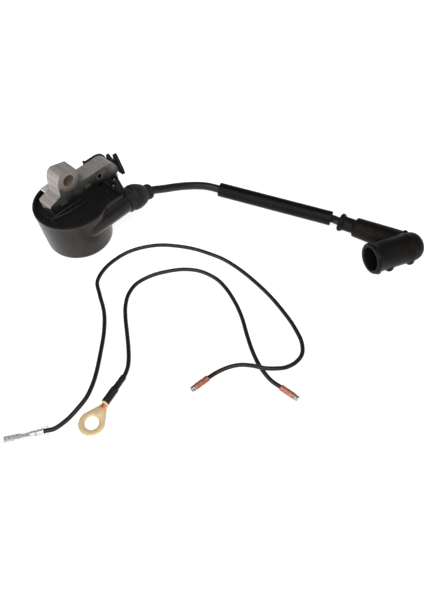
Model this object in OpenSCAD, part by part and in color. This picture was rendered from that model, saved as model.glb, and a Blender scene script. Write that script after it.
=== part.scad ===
// Ignition coil for a small engine, with its plug lead, plug boot and two loose wires.
// The round cup stands on z = 0 with its centre at the origin. X runs along the lead tower,
// Y runs through the core's mounting hole and Z is up.

/* [Housing] */
// Outer radius of the cup at its rim
cup_r = 21.6; // [21.4:0.1:22.4]
// Height of the cup
cup_h = 29.4; // [29:0.1:30]
// Wall thickness of the cup
cup_wall = 1.8; // [1.4:0.1:2]
// Thickness of the cup's floor
floor_t = 2.2; // [1.6:0.1:2.4]
// Level of the cast resin inside the cup
resin_top = 28; // [27.6:0.1:28.6]

/* [Lead tower] */
// Outer radius of the tower that holds the lead
tower_r = 6.7; // [6.5:0.1:7]
// Distance of the tower's axis in front of the cup's centre
tower_y = 15.6; // [15:0.1:16.2]
// Height of the tower's axis
tower_z = 20.6; // [20.4:0.1:20.8]
// Where the tower ends beside the collar
tower_end = 25.9; // [25.6:0.1:26.2]
// Outer radius of the collar on the tower's end
collar_r = 7.7; // [7.4:0.1:8]

/* [Core] */
// Thickness of the stack of core sheets
core_t = 10.2; // [9.8:0.1:10.4]
// Front face of the stack
core_front = -1.6; // [-1.8:0.1:-1.4]
// Radius of the mounting hole in the boss
mount_hole_r = 3.5; // [3.2:0.05:3.7]
// Radius of the small locating hole
small_hole_r = 1.5; // [1.2:0.05:1.6]

/* [Plug lead and sleeve] */
// Diameter of the plug lead
lead_d = 5; // [4.8:0.1:5]
// Outer diameter of the protective sleeve
sleeve_od = 9; // [8:0.1:9]
// Inner diameter of the protective sleeve
sleeve_id = 6.8; // [6.4:0.1:7]
// Length of the protective sleeve
sleeve_len = 74.4; // [70:0.1:75]

/* [Plug boot] */
// Outer radius of the boot's head at its ribs
head_r = 9.9; // [9.8:0.05:10]
// Radius of the bore that grips the spark plug
plug_bore_r = 6.75; // [6.5:0.05:7]
// Length of the boot's head without its dome
head_len = 28.6; // [28:0.1:29]
// Turn of the head's axis, seen from above
head_az = -27.5; // [-28:0.5:-27]
// Turn of the arm's axis, seen from above
arm_az = -78; // [-79:0.5:-77]

/* [Loose wires] */
// Diameter of each loose wire
wire_d = 2.3; // [2:0.1:2.4]
// Outer radius of the ring terminal's eye
ring_r = 6.6; // [6.2:0.1:7]
// Radius of the hole in the ring terminal
ring_hole_r = 3.4; // [3.2:0.05:3.5]
// Thickness of the ring terminal's sheet
ring_t = 0.8; // [0.6:0.1:1]
// Outer radius of the crimped socket sleeves
socket_r = 1.65; // [1.55:0.05:1.75]
// Outer radius of the clear insulating sleeve
clear_r = 2.05; // [2:0.05:2.15]

/* [Hidden] */
$fn = 96;
eps = 0.01;
gap = 0.03;

// Cup profile heights and radii
foot_r = 16.4;
tower_start = -5.2;
foot_bend = 3.5;
waist_r = foot_r + foot_bend;
lip = 0.5;

// Core
core_mid = core_front + core_t / 2;
leg_x0 = -4;
leg_x1 = 6;
leg_bottom = 5;
hole_x = 1.9;
hole_z = 44.4;
small_x = 21.9;
small_z = 34.6;
core_sink = 26.2;

// Windings sit round the core's hidden leg
coil_x = (leg_x0 + leg_x1) / 2;
coil_bottom = 3.8;
coil_top = 24.6;
coil_clear_r = 12.9;
primary_in = 8.9;
primary_out = 10;
secondary_in = 11;
secondary_out = 12.3;
flange_t = 0.8;
flange_r = 12.8;
sections = 4;

// Control board stands on the far side of the windings from the terminals
board_x = -14.4;
board_t = 1;
board_w = 16;
board_h = 16;
board_z = 7;
board_y = 0.5;
parts_depth = 3.2;

// Tower
bore_r = lead_d / 2 + 0.1;
spigot_r = 5;
lead_start = 12;

// Extension beside the cup that carries the terminals
ext_bottom = 14.4;
ext_outline = [
    [0, -18.3], [24.4, -18.3], [27.6, -15.4], [32.8, -2], [36, 0.5], [37.2, 3], [37.2, 9], [35.6, 11.6],
    [27, 13], [12, 16.6], [0, 16.6]
];
ext_room = [[0, -17.2], [23.2, -17.2], [23.2, 11.6], [12, 14.8], [0, 14.8]];
room_bottom = 16;
kill_xy = [25.6, -8.1];
ground_xy = [29.4, -4.4];
well_r = 1.8;
well_bottom = 26.6;
pin_r = 0.9;
pin_bottom = 25.2;
pin_top = 29.2;
tail_start = 20.5;
tail_w = 1;
tail_t = 0.8;

// Grommet leans down from the collar
grommet_at = [tower_end + 2, -tower_y, tower_z];
grommet_az = -3;
grommet_el = -15;

// Sleeve lies on the floor
sleeve_at = [84.6, -39.9, sleeve_od / 2 + 0.1];
sleeve_az = -68.5;

// Plug boot: the head lies on the floor and the arm rises into its closed end
head_at = [95.2, -145.8, head_r];
arm_at = [111.8, -114.7, 5.9];
arm_el = 3.5;
arm_len = 41.5;
neck_len = 9.8;
spring_room_r = 6.1;

// Loose wire ends
ring_at = [-74.5, -98.2];
ring_az = 13;
blade_at = [-108.3, -73.9, clear_r];
blade_az = -35;
clear_len = 21.3;
kill_socket_at = [-19.6, -124.2, socket_r];
kill_socket_az = 170.5;
ground_socket_at = [1.1, -154.7, socket_r];
ground_socket_az = -86;
socket_len = 10.8;

// Route of the plug lead, from the contact pin to inside the boot
lead_pts = [
    [lead_start, -15.6, 20.6], [28.5, -15.6, 20.6], [33, -15.9, 19.3], [40, -16.3, 17.4],
    [46.5, -16.6, 15.6],
    [55, -19.3, 12.9], [62, -21.5, 10.8], [68.5, -24, 8.8], [74.5, -27.5, 7.2], [79.5, -31.7, 6],
    [83, -36.5, 5], [85.2, -41.4, 4.6], [94.3, -64.5, 4.6], [103.4, -87.6, 4.6], [110.4, -105.5, 4.6],
    [112, -109.8, 4.8]
];

// Route of the kill wire, from the blade's crimp to the socket
kill_pts = [
    [-91.8, -85.4, 2.05], [-88.4, -87.6, 1.9], [-81.5, -88.2, 1.2], [-74, -87.5, 1.2], [-67, -86, 1.2],
    [-58, -81.2, 1.2], [-47, -72.7, 1.2], [-36, -63.1, 1.2], [-28.3, -54.1, 1.2], [-22, -43, 1.2],
    [-17.2, -35.5, 1.2], [-9, -31.7, 1.2], [0, -30.8, 1.2], [10, -32.3, 1.2], [19, -36.6, 1.2],
    [27, -43, 1.2], [33, -50.8, 1.2], [38, -59.5, 1.2], [41.5, -68.7, 1.2], [44.2, -79, 1.2],
    [44.8, -91, 1.2], [43.7, -104.2, 1.2], [41.3, -117.8, 1.2], [36.8, -132.6, 1.2],
    [33.5, -140.3, 1.2], [29.5, -147, 1.2], [24, -151.4, 1.2], [18, -152, 1.2], [12, -150.2, 1.7],
    [7.3, -147, 2.9], [3, -142.5, 3.75], [0, -136.5, 3], [-3.2, -131.5, 1.8], [-8, -127.8, 1.2],
    [-14.2, -125.3, 1.2]
];

// Route of the ground wire, from the ring terminal to the socket
ground_pts = [
    [-43, -89.4, 1.2], [-39.3, -86.2, 1.2], [-34.7, -81, 1.2], [-29, -73.7, 1.2],
    [-23, -65.9, 1.2], [-17.6, -60, 1.2], [-11, -55.4, 1.2], [-3, -53.4, 1.2], [6.8, -55.6, 1.2],
    [15.6, -60.5, 1.2], [23, -66.6, 1.2], [28.2, -74.4, 1.2], [30.4, -84.5, 1.2], [29.2, -93.4, 1.2],
    [25, -104.5, 1.2], [19.9, -113.6, 1.2], [13.2, -122.8, 1.2], [7, -132.2, 1.2], [3, -140.5, 1.2],
    [1, -148.5, 1.2]
];

// ---- small helpers ----

// Points a part that is built along +Z in the given direction
module aim(at, az, el) {
    translate(at)
        rotate([0, 90 - el, az])
            children();
}

// A point at distance d from a place, in a direction
function ahead(at, az, el, d) = at + d * [cos(el) * cos(az), cos(el) * sin(az), sin(el)];

function unit(v) = v / norm(v);

// Direction of a route at point i
function way(p, i) = unit(p[min(i + 1, len(p) - 1)] - p[max(i - 1, 0)]);

// Sideways direction, level with the floor
function side(t) = unit(cross(t, [0, 0, 1]));

// One ring of the swept tube
function ring_pts(c, t, r, n) =
    let (u = side(t), v = cross(u, t))
    [for (k = [0 : n - 1]) c + r * (cos(360 * (k + 0.5) / n) * u + sin(360 * (k + 0.5) / n) * v)];

// A round tube swept along a route, closed at both ends
module sweep(p, r, n) {
    m = len(p);
    points = [for (i = [0 : m - 1]) each ring_pts(p[i], way(p, i), r, n)];
    sides = [
        for (i = [0 : m - 2], k = [0 : n - 1])
            let (a = i * n + k, b = i * n + (k + 1) % n)
            each [[a, b, b + n], [a, b + n, a + n]]
    ];
    first = [for (k = [n - 1 : -1 : 0]) k];
    last = [for (k = [0 : n - 1]) (m - 1) * n + k];
    polyhedron(points = points, faces = concat(sides, [first], [last]), convexity = 10);
}

// A sheet-like outline in X and Z, pushed through Y
module slab(y0, t) {
    translate([0, y0 + t, 0])
        rotate([90, 0, 0])
            linear_extrude(height = t)
                children();
}

module tube(r, bore, h) {
    difference() {
        cylinder(r = r, h = h);
        translate([0, 0, -1])
            cylinder(r = bore, h = h + 2);
    }
}

// ---- housing ----

function foot_arc() = [
    for (a = [-90 : 18 : 0]) [foot_r + foot_bend * cos(a), foot_bend + foot_bend * sin(a)]
];

module cup_outside() {
    rotate_extrude()
        polygon(concat([[0, 0]], foot_arc(), [
            [cup_r - 0.2, cup_h - 1.6], [cup_r, cup_h - 1.2], [cup_r, cup_h], [0, cup_h]
        ]));
}

module cup_inside(shrink, top) {
    rotate_extrude()
        polygon([
            [0, floor_t + shrink],
            [foot_r - shrink, floor_t + shrink],
            [waist_r - cup_wall - shrink, floor_t + 2.2 + shrink],
            [cup_r - cup_wall - shrink, cup_h - 2],
            [cup_r - cup_wall - shrink, top],
            [0, top]
        ]);
}

module room(shrink, top) {
    translate([0, 0, room_bottom + shrink])
        linear_extrude(height = top - room_bottom - shrink)
            polygon([for (q = ext_room) [q[0] - (q[0] > 0 ? shrink : 0), q[1] - sign(q[1]) * shrink]]);
}

module tower(r, x0, x1) {
    translate([x0, -tower_y, tower_z])
        rotate([0, 90, 0])
            cylinder(r = r, h = x1 - x0);
}

// A terminal pin with a flat tail that runs back into the resin
module pin_shape(q, grow) {
    translate([q[0], q[1], pin_bottom - grow])
        cylinder(r = pin_r + grow, h = pin_top - pin_bottom + 2 * grow);
    translate([tail_start - grow, q[1] - tail_w / 2 - grow, pin_bottom - grow])
        cube([q[0] - tail_start, tail_w + 2 * grow, tail_t + 2 * grow]);
}

module housing_cup() {
    color([0.13, 0.13, 0.14])
        difference() {
            union() {
                difference() {
                    union() {
                        cup_outside();
                        translate([0, 0, ext_bottom])
                            linear_extrude(height = cup_h - ext_bottom)
                                polygon(ext_outline);
                        tower(tower_r, tower_start, tower_end);
                    }
                    cup_inside(0, cup_h + 1);
                    room(0, cup_h + 1);
                }
                tower(tower_r - 1, tower_start + 0.5, tower_end - 0.5);
            }
            tower(bore_r, lead_start - 0.5, tower_end + 1);
            tower(1.3, 3.5, lead_start);
            tower(spigot_r + 0.05, tower_end - 3.5, tower_end + 1);
            translate([5, -tower_y, tower_z])
                rotate([-90, 0, 0])
                    cylinder(r = 0.7, h = 12);
            tower(collar_r + 0.35, tower_end, 45);
            for (q = [kill_xy, ground_xy]) {
                translate([q[0], q[1], well_bottom])
                    cylinder(r = well_r, h = 12);
                pin_shape(q, gap);
            }
        }
}

module potting_fill() {
    color([0.05, 0.05, 0.06])
        difference() {
            union() {
                cup_inside(gap, resin_top);
                room(gap, resin_top);
            }
            tower(tower_r - 1 + gap, tower_start + 0.5 - gap, 40);
            translate([coil_x, core_mid, coil_bottom - 0.2])
                cylinder(r = coil_clear_r + 0.1, h = coil_top - coil_bottom + 0.4);
            translate([leg_x0 - gap, core_front - gap, leg_bottom])
                cube([leg_x1 - leg_x0 + 2 * gap, core_t + 2 * gap, 30]);
            translate([-13.6, core_front - gap, core_sink - gap])
                cube([33, core_t + 2 * gap, 10]);
            translate([-8 - gap, core_front + core_t, core_sink])
                cube([5 + 2 * gap, 1 + 2 * gap, 10]);
            for (q = [kill_xy, ground_xy])
                pin_shape(q, gap);
            translate([board_x - 0.2, board_y - board_w / 2 - 0.2, board_z - 0.2])
                cube([board_t + 0.4, board_w + 0.4, board_h + 0.4]);
            translate([board_x - parts_depth - 0.2, board_y - 6, board_z - 0.1])
                cube([parts_depth + 0.3, 13, board_h]);
            translate([5, -tower_y, tower_z])
                rotate([-90, 0, 0])
                    cylinder(r = 0.7, h = 12);
        }
}

// ---- core ----

module core_outline() {
    polygon([
        [-13, core_sink], [-13, 30], [-13.5, 34.4], [-13.1, 35.3], [-5.9, 38], [-5.4, 38.7],
        [-5.3, 42.7], [-4.7, 46], [-3.7, 48.4], [-2, 50], [-0.4, 50.4], [8, 48.4],
        [8.7, 47.9], [9.4, 45.6], [10.4, 41], [11.3, 38.9], [28, 38.9], [30.6, 38.5], [32.7, 37.2],
        [34.2, 35.2], [35, 33], [35.3, 31], [35.3, cup_h + gap], [19, cup_h + gap], [19, core_sink],
        [leg_x1, core_sink], [leg_x1, leg_bottom], [leg_x0, leg_bottom], [leg_x0, core_sink]
    ]);
}

pin_spots = [[-4.7, 32.4], [12.7, 33.6], [1, 16]];

module core_laminations() {
    color([0.62, 0.6, 0.57])
        difference() {
            slab(core_front, core_t)
                core_outline();
            slab(core_front - 1, core_t + 2)
                translate([hole_x, hole_z])
                    circle(r = mount_hole_r);
            slab(core_front - 1, core_t + 2)
                translate([small_x, small_z])
                    circle(r = small_hole_r);
            for (q = pin_spots)
                slab(core_front - 1, core_t + 2)
                    translate(q)
                        square([3.8 + 2 * gap, 1.4 + 2 * gap], center = true);
        }
}

module core_pins() {
    color([0.7, 0.69, 0.66])
        for (q = pin_spots)
            slab(core_front + 0.15, core_t - 0.3)
                translate(q)
                    square([3.8, 1.4], center = true);
}

module ground_tab() {
    color([0.72, 0.71, 0.68])
        union() {
            translate([-8, core_front + core_t + gap, core_sink + 0.5])
                cube([5, 1, 10]);
            translate([-8.4, core_front + core_t + gap, 35.2])
                cube([5.6, 5, 1.3]);
        }
}

module rear_cover() {
    color([0.08, 0.08, 0.09])
        slab(core_front + core_t + gap, 1.3)
            polygon([
                [19.8, cup_h + gap], [19.8, 40.3], [21, 40.3], [21, 39.4], [28.4, 39.4], [31, 39],
                [33.3, 37.8], [34.9, 35.7], [35.8, 33.2], [36.1, 31], [36.1, cup_h + gap]
            ]);
}

module wire_clip() {
    color([0.08, 0.08, 0.09])
        union() {
            translate([35.5, 0, 0])
                rotate([90, 0, 90])
                    linear_extrude(height = 2)
                        polygon([
                            [1.6, cup_h + gap], [1.6, 31.4], [5, 34.6], [7.2, 36.4], [8.5, 36.2],
                            [8.5, cup_h + gap]
                        ]);
            translate([38.4, -2.5, -1])
                rotate([90, 0, 90])
                    linear_extrude(height = 2.2)
                        polygon([
                            [1.2, 25.4], [2, 28.4], [6, 36.8], [7.4, 37.6], [8.4, 36.8], [8.4, 29.4],
                            [5.4, 25]
                        ]);
            translate([35.5, 2.4, cup_h + gap])
                cube([4, 2.4, 1.2]);
        }
}

module kill_pin() {
    color([0.8, 0.8, 0.78])
        pin_shape(kill_xy, 0);
}

module ground_pin() {
    color([0.8, 0.8, 0.78])
        pin_shape(ground_xy, 0);
}

// ---- windings ----

module coil_at(z) {
    translate([coil_x, core_mid, z])
        children();
}

module primary_bobbin() {
    color([0.75, 0.72, 0.62])
        difference() {
            coil_at(coil_bottom)
                union() {
                    cylinder(r = primary_in, h = coil_top - coil_bottom);
                    cylinder(r = primary_out + 0.5, h = flange_t);
                    translate([0, 0, coil_top - coil_bottom - flange_t])
                        cylinder(r = primary_out + 0.5, h = flange_t);
                }
            translate([leg_x0 - 0.1, core_front - 0.1, coil_bottom + flange_t])
                cube([leg_x1 - leg_x0 + 0.2, core_t + 0.2, 40]);
        }
}

module primary_winding() {
    color([0.72, 0.38, 0.2])
        coil_at(coil_bottom + flange_t + gap)
            tube(primary_out, primary_in + gap, coil_top - coil_bottom - 2 * flange_t - 2 * gap);
}

module secondary_bobbin() {
    pitch = (coil_top - coil_bottom - flange_t) / sections;
    color([0.78, 0.76, 0.68])
        coil_at(coil_bottom)
            difference() {
                union() {
                    cylinder(r = secondary_in, h = coil_top - coil_bottom);
                    for (i = [0 : sections])
                        translate([0, 0, i * pitch])
                            cylinder(r = flange_r, h = flange_t);
                }
                translate([0, 0, -1])
                    cylinder(r = primary_out + 0.5 + gap, h = 40);
            }
}

module secondary_winding() {
    pitch = (coil_top - coil_bottom - flange_t) / sections;
    color([0.6, 0.28, 0.14])
        for (i = [0 : sections - 1])
            coil_at(coil_bottom + i * pitch + flange_t + gap)
                tube(secondary_out, secondary_in + gap, pitch - flange_t - 2 * gap);
}

// ---- control board and its parts ----

module control_board() {
    color([0.1, 0.35, 0.2])
        translate([board_x, board_y - board_w / 2, board_z])
            cube([board_t, board_w, board_h]);
}

module storage_capacitor() {
    color([0.75, 0.3, 0.15])
        translate([board_x - gap - parts_depth, board_y - 4.5, board_z + 7.5])
            cube([parts_depth, 8, 7]);
}

module switching_thyristor() {
    color([0.1, 0.1, 0.1])
        translate([board_x - gap - 2.6, board_y - 5.5, board_z + 1])
            cube([2.6, 4.4, 4.6]);
}

module board_diodes() {
    color([0.2, 0.2, 0.2])
        for (y = [0.6, 3.4])
            translate([board_x - gap - 1.1, board_y + y, board_z + 1])
                cylinder(r = 1, h = 5);
}

module gate_resistor() {
    color([0.7, 0.62, 0.45])
        translate([board_x - gap - 0.9, board_y + 5.6, board_z + 8])
            cylinder(r = 0.8, h = 6);
}

// ---- high-tension side ----

module ht_contact_pin() {
    color([0.8, 0.7, 0.4])
        union() {
            tower(1.2, 3.8, lead_start - 0.6);
            tower(1.9, lead_start - 0.45, lead_start - gap);
            tower(1.2, 3.8, lead_start - gap);
        }
}

module ht_link() {
    color([0.75, 0.45, 0.25])
        translate([5, -tower_y + 1.2 + gap, tower_z])
            rotate([-90, 0, 0])
                cylinder(r = 0.5, h = tower_y + core_mid - coil_clear_r - 1.3);
}

module tower_collar() {
    color([0.05, 0.05, 0.05])
        translate([tower_end + gap, -tower_y, tower_z])
            rotate([0, 90, 0])
                tube(collar_r, spigot_r + 0.05, grommet_at[0] - tower_end - 2 * gap);
}

module lead_grommet() {
    color([0.2, 0.21, 0.23])
        difference() {
            union() {
                tower(spigot_r, tower_end - 3.4, grommet_at[0] + 1);
                aim(grommet_at, grommet_az, grommet_el)
                    rotate_extrude()
                        polygon([
                            [0, 1.9], [7, 1.9], [7.6, 2.8], [7.8, 5], [7.4, 8], [6.6, 10.6], [5.6, 12.6],
                            [4.5, 14], [4.1, 14.8], [4.7, 15.4], [4.7, 17.4], [4.1, 18], [0, 18]
                        ]);
                tower(6.5, grommet_at[0] + gap, grommet_at[0] + 3.4);
            }
            tower(3.3, tower_end - 5, grommet_at[0] + 2.6);
            aim(grommet_at, grommet_az, grommet_el)
                translate([0, 0, 1])
                    cylinder(r = bore_r, h = 30);
        }
}

// Where the lead ends inside the boot's arm
lead_end = ahead(arm_at, arm_az, arm_el, 27);

module plug_lead() {
    boot_end = [ahead(arm_at, arm_az, arm_el, 1), ahead(arm_at, arm_az, arm_el, 12), lead_end];
    route = concat(lead_pts, boot_end);
    color([0.07, 0.07, 0.08])
        sweep(route, lead_d / 2, 12);
}

module protective_sleeve() {
    color([0.06, 0.06, 0.07])
        aim(sleeve_at, sleeve_az, 0)
            tube(sleeve_od / 2, sleeve_id / 2, sleeve_len);
}

// ---- plug boot ----

module boot_arm() {
    rotate_extrude()
        polygon([
            [0, 0], [4.8, 0], [5.5, 0.6], [5.7, 1.5], [5.5, 2.4], [4.8, 3], [4.3, 3.2], [4.3, neck_len],
            [5.7, neck_len + 0.2], [5.9, neck_len + 0.8], [7, arm_len - 6], [6.4, arm_len - 2],
            [5, arm_len + 1], [0, arm_len + 2]
        ]);
}

module boot_head() {
    rotate_extrude()
        polygon([
            [0, 0], [head_r - 1.6, 0], [head_r - 0.6, 1.2], [head_r - 0.4, 2.4], [head_r - 1.2, 3.4],
            [head_r - 1.2, 10], [head_r, 11.2], [head_r, 13], [head_r - 1.2, 14.4], [head_r - 1.2, 22],
            [head_r, 23.2], [head_r, 24.8], [head_r - 1, 26], [head_r - 1.6, head_len - 1.5],
            [head_r - 2.6, head_len + 1], [head_r - 4.4, head_len + 3], [head_r - 6.8, head_len + 4.2],
            [0, head_len + 4.6]
        ]);
}

module plug_boot() {
    color([0.17, 0.17, 0.17])
        difference() {
            union() {
                aim(head_at, head_az, 0)
                    boot_head();
                aim(arm_at, arm_az, arm_el)
                    boot_arm();
            }
            aim(head_at, head_az, 0)
                rotate_extrude()
                    polygon([
                        [0, -1], [plug_bore_r + 0.5, -1], [plug_bore_r + 0.4, 0], [plug_bore_r, 0.8],
                        [plug_bore_r, 19], [spring_room_r, 19.5], [spring_room_r, 26.2], [4.5, 27.6],
                        [0, 27.6]
                    ]);
            aim(arm_at, arm_az, arm_el)
                rotate_extrude()
                    polygon([
                        [0, -1], [3.6, -1], [3.3, 0], [lead_d / 2 + 0.08, 2],
                        [lead_d / 2 + 0.08, 31], [0, 31]
                    ]);
        }
}

function spring_pts(turns, steps, r, z0, rise) =
    [
        for (i = [0 : turns * steps])
            [r * cos(360 * i / steps), r * sin(360 * i / steps), z0 + rise * i / steps]
    ];

module plug_spring() {
    color([0.75, 0.75, 0.73])
        aim(head_at, head_az, 0)
            sweep(spring_pts(4, 14, 5.2, 19.5, 1.5), 0.5, 8);
}

// ---- loose wires ----

module kill_wire() {
    start = ahead(blade_at, blade_az, 0, 16.6);
    ends = [ahead(kill_socket_at, kill_socket_az, 0, 0.6), ahead(kill_socket_at, kill_socket_az, 0, 5)];
    color([0.06, 0.06, 0.06])
        sweep(concat([start], kill_pts, ends), wire_d / 2, 8);
}

module ground_wire() {
    start = [for (d = [19, 27.6]) ahead([ring_at[0], ring_at[1], 2.1], ring_az, 0, d)];
    ends = [
        ahead(ground_socket_at, ground_socket_az, 0, 0.6),
        ahead(ground_socket_at, ground_socket_az, 0, 5)
    ];
    color([0.06, 0.06, 0.06])
        sweep(concat(start, ground_pts, ends), wire_d / 2, 8);
}

module socket_tip(at, az) {
    color([0.75, 0.74, 0.72])
        aim(at, az, 0)
            difference() {
                union() {
                    translate([0, 0, 5.1])
                        cylinder(r = socket_r - 0.3, h = 4);
                    translate([0, 0, 8.2])
                        cylinder(r = socket_r - 0.1, h = socket_len - 8.2 - 0.4);
                    translate([0, 0, socket_len - 0.6])
                        cylinder(r = socket_r - 0.25, h = 0.6);
                }
                translate([0, 0, 6])
                    cylinder(r = pin_r + 0.05, h = 12);
            }
}

module socket_cover(at, az) {
    color([0.72, 0.42, 0.32])
        aim(at, az, 0)
            difference() {
                cylinder(r = socket_r, h = 8.1);
                translate([0, 0, -1])
                    cylinder(r = wire_d / 2 + gap, h = 12);
                translate([0, 0, 5])
                    cylinder(r = socket_r - 0.27, h = 12);
            }
}

module kill_socket() {
    socket_tip(kill_socket_at, kill_socket_az);
}

module kill_socket_sleeve() {
    socket_cover(kill_socket_at, kill_socket_az);
}

module ground_socket() {
    socket_tip(ground_socket_at, ground_socket_az);
}

module ground_socket_sleeve() {
    socket_cover(ground_socket_at, ground_socket_az);
}

module kill_blade() {
    color([0.7, 0.71, 0.72])
        aim(blade_at, blade_az, 0)
            union() {
                translate([-0.25, -1.4, 0.8])
                    cube([0.5, 2.8, 7.4]);
                translate([-0.25, -0.9, 8])
                    cube([0.5, 1.8, 5.2]);
                translate([0, 0, 13])
                    tube(1.4, wire_d / 2 + gap, 2.6);
                translate([0, 0, 13])
                    cylinder(r = 1.4, h = 0.6);
                translate([0, 0, 16])
                    tube(1.5, wire_d / 2 + 0.1, 3.4);
                translate([-0.25 - 1.1, -0.5, 15])
                    cube([0.3, 1, 1.5]);
            }
}

module clear_sleeve() {
    color([0.9, 0.92, 0.95, 0.35])
        aim(blade_at, blade_az, 0)
            tube(clear_r, clear_r - 0.4, clear_len);
}

module ring_terminal() {
    color([0.85, 0.72, 0.45])
        difference() {
            union() {
                translate([ring_at[0], ring_at[1], 0])
                    cylinder(r = ring_r, h = ring_t);
                translate([ring_at[0], ring_at[1], 0])
                    rotate([0, 0, ring_az])
                        linear_extrude(height = ring_t)
                            polygon([
                                [0, -6.5], [1.8, -6.3], [9.2, -2.4], [11.3, -1.6],
                                [11.3, 1.6], [9.2, 2.4], [1.8, 6.3], [0, 6.5]
                            ]);
                aim([ring_at[0], ring_at[1], 1.85], ring_az, 0)
                    translate([0, 0, 10.6])
                        tube(1.6, 1.05, 6.4);
            }
            translate([ring_at[0], ring_at[1], -1])
                cylinder(r = ring_hole_r, h = 4);
        }
}

module ring_strands() {
    color([0.7, 0.25, 0.12])
        aim([ring_at[0], ring_at[1], 1.85], ring_az, 0)
            translate([0, 0, 8.6])
                cylinder(r = 0.95, h = 9);
}

module ring_heat_shrink() {
    color([0.05, 0.05, 0.05])
        aim([ring_at[0], ring_at[1], 2.12], ring_az, 0)
            difference() {
                rotate_extrude()
                    polygon([[0, 11.4], [2.1, 11.4], [2.1, 19.4], [1.65, 20.4], [1.6, 27.4], [0, 27.4]]);
                translate([0, 0, 10])
                    cylinder(r = 1.95, h = 8.4);
                translate([0, 0, 10])
                    cylinder(r = wire_d / 2 + 0.05, h = 30);
            }
}

housing_cup();
potting_fill();
core_laminations();
core_pins();
ground_tab();
rear_cover();
wire_clip();
kill_pin();
ground_pin();
primary_bobbin();
primary_winding();
secondary_bobbin();
secondary_winding();
control_board();
storage_capacitor();
switching_thyristor();
board_diodes();
gate_resistor();
ht_contact_pin();
ht_link();
tower_collar();
lead_grommet();
plug_lead();
protective_sleeve();
plug_boot();
plug_spring();
kill_wire();
kill_socket();
kill_socket_sleeve();
kill_blade();
clear_sleeve();
ground_wire();
ground_socket();
ground_socket_sleeve();
ring_terminal();
ring_strands();
ring_heat_shrink();
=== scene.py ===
"""Potted ignition coil with its plug lead, plug boot and two loose wires.

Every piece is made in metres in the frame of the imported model: the round cup stands on z = 0
with its centre at the origin, X runs along the lead tower and Y through the mounting hole.
"""
import math

import bpy
from mathutils import Matrix, Vector


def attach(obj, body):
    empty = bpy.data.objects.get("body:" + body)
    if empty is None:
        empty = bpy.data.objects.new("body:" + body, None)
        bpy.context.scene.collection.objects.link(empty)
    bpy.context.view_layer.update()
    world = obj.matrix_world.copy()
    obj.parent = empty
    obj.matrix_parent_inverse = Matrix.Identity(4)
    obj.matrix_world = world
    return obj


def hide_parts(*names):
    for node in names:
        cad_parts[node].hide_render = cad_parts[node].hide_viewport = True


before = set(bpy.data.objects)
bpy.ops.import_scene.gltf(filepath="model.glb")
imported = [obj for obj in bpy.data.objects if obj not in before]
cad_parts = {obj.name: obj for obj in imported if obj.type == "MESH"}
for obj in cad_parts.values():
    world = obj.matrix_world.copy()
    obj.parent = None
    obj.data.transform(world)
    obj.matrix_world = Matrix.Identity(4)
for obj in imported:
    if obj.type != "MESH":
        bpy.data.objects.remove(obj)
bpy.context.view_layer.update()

MM = 0.001
SAME_POINT = 0.002 * MM


# ---- Camera ----

def make_camera():
    """A camera on a stand at the left of the bench, looking down across the wires."""
    stand = (-0.1001, -0.1994, 0.2326)
    right = Vector((0.669, -0.743, 0.0)).normalized()
    forward = Vector((0.420, 0.378, -0.825)).normalized()
    up = right.cross(forward).normalized()
    back = -forward
    turn = Matrix((
        (right.x, up.x, back.x),
        (right.y, up.y, back.y),
        (right.z, up.z, back.z),
    ))
    lens = bpy.data.cameras.new("bench_camera")
    lens.lens = 29.84
    lens.sensor_width = 36
    lens.clip_start, lens.clip_end = 0.01, 10
    camera = bpy.data.objects.new("bench_camera", lens)
    camera.matrix_world = Matrix.Translation(stand) @ turn.to_4x4()
    bpy.context.scene.collection.objects.link(camera)
    bpy.context.scene.camera = camera


make_camera()


# ---- Places shared by several pieces, in millimetres and degrees ----

TOWER_Y = -15.6
TOWER_Z = 20.6
TOWER_END = 25.9
GROMMET_AT, GROMMET_AZ, GROMMET_EL = (27.9, -15.6, 20.6), -3, -15
SLEEVE_AT, SLEEVE_AZ, SLEEVE_LEN = (84.6, -39.9, 4.6), -68.5, 74.4
HEAD_AT, HEAD_AZ = (95.2, -145.8, 9.9), -27.5
ARM_AT, ARM_AZ, ARM_EL = (111.8, -114.7, 5.9), -78, 3.5
RING_AT, RING_AZ = (-74.5, -98.2, 0.0), 13
BLADE_AT, BLADE_AZ = (-108.3, -73.9, 2.05), -35
KILL_SOCKET_AT, KILL_SOCKET_AZ = (-19.6, -124.2, 1.65), 170.5
GROUND_SOCKET_AT, GROUND_SOCKET_AZ = (1.1, -154.7, 1.65), -86
TOWER_BORE = 5.05
CORE_FRONT, CORE_T = -1.6, 10.2
HOLE_XZ, HOLE_R = (1.9, 44.4), 3.5
SMALL_XZ, SMALL_R = (21.9, 34.6), 1.5
SHEET, SHEET_STEP, SHEETS = 0.5, 0.51, 20
CUP_R, CUP_WALL, CUP_TOP, RESIN_TOP = 21.6, 1.8, 29.4, 28.0
KILL_POST_XY, GROUND_POST_XY = (25.6, -8.1), (29.4, -4.4)
LEAD_D, WIRE_D = 5, 2.3
WIRE_REST = 1.2
BARREL_AT = (RING_AT[0], RING_AT[1], 1.85)
RING_WIRE_AT = (RING_AT[0], RING_AT[1], 2.1)


def on_bench(*points):
    """Points where a wire lies on the bench, with its middle at its resting height."""
    return [(x, y, WIRE_REST) for x, y in points]


def ahead(at, az, el, distance):
    """The point at a distance from a place, in a direction."""
    az, el = math.radians(az), math.radians(el)
    way = (math.cos(el) * math.cos(az), math.cos(el) * math.sin(az), math.sin(el))
    return tuple(a + distance * w for a, w in zip(at, way))


# ---- Cords ----

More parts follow.
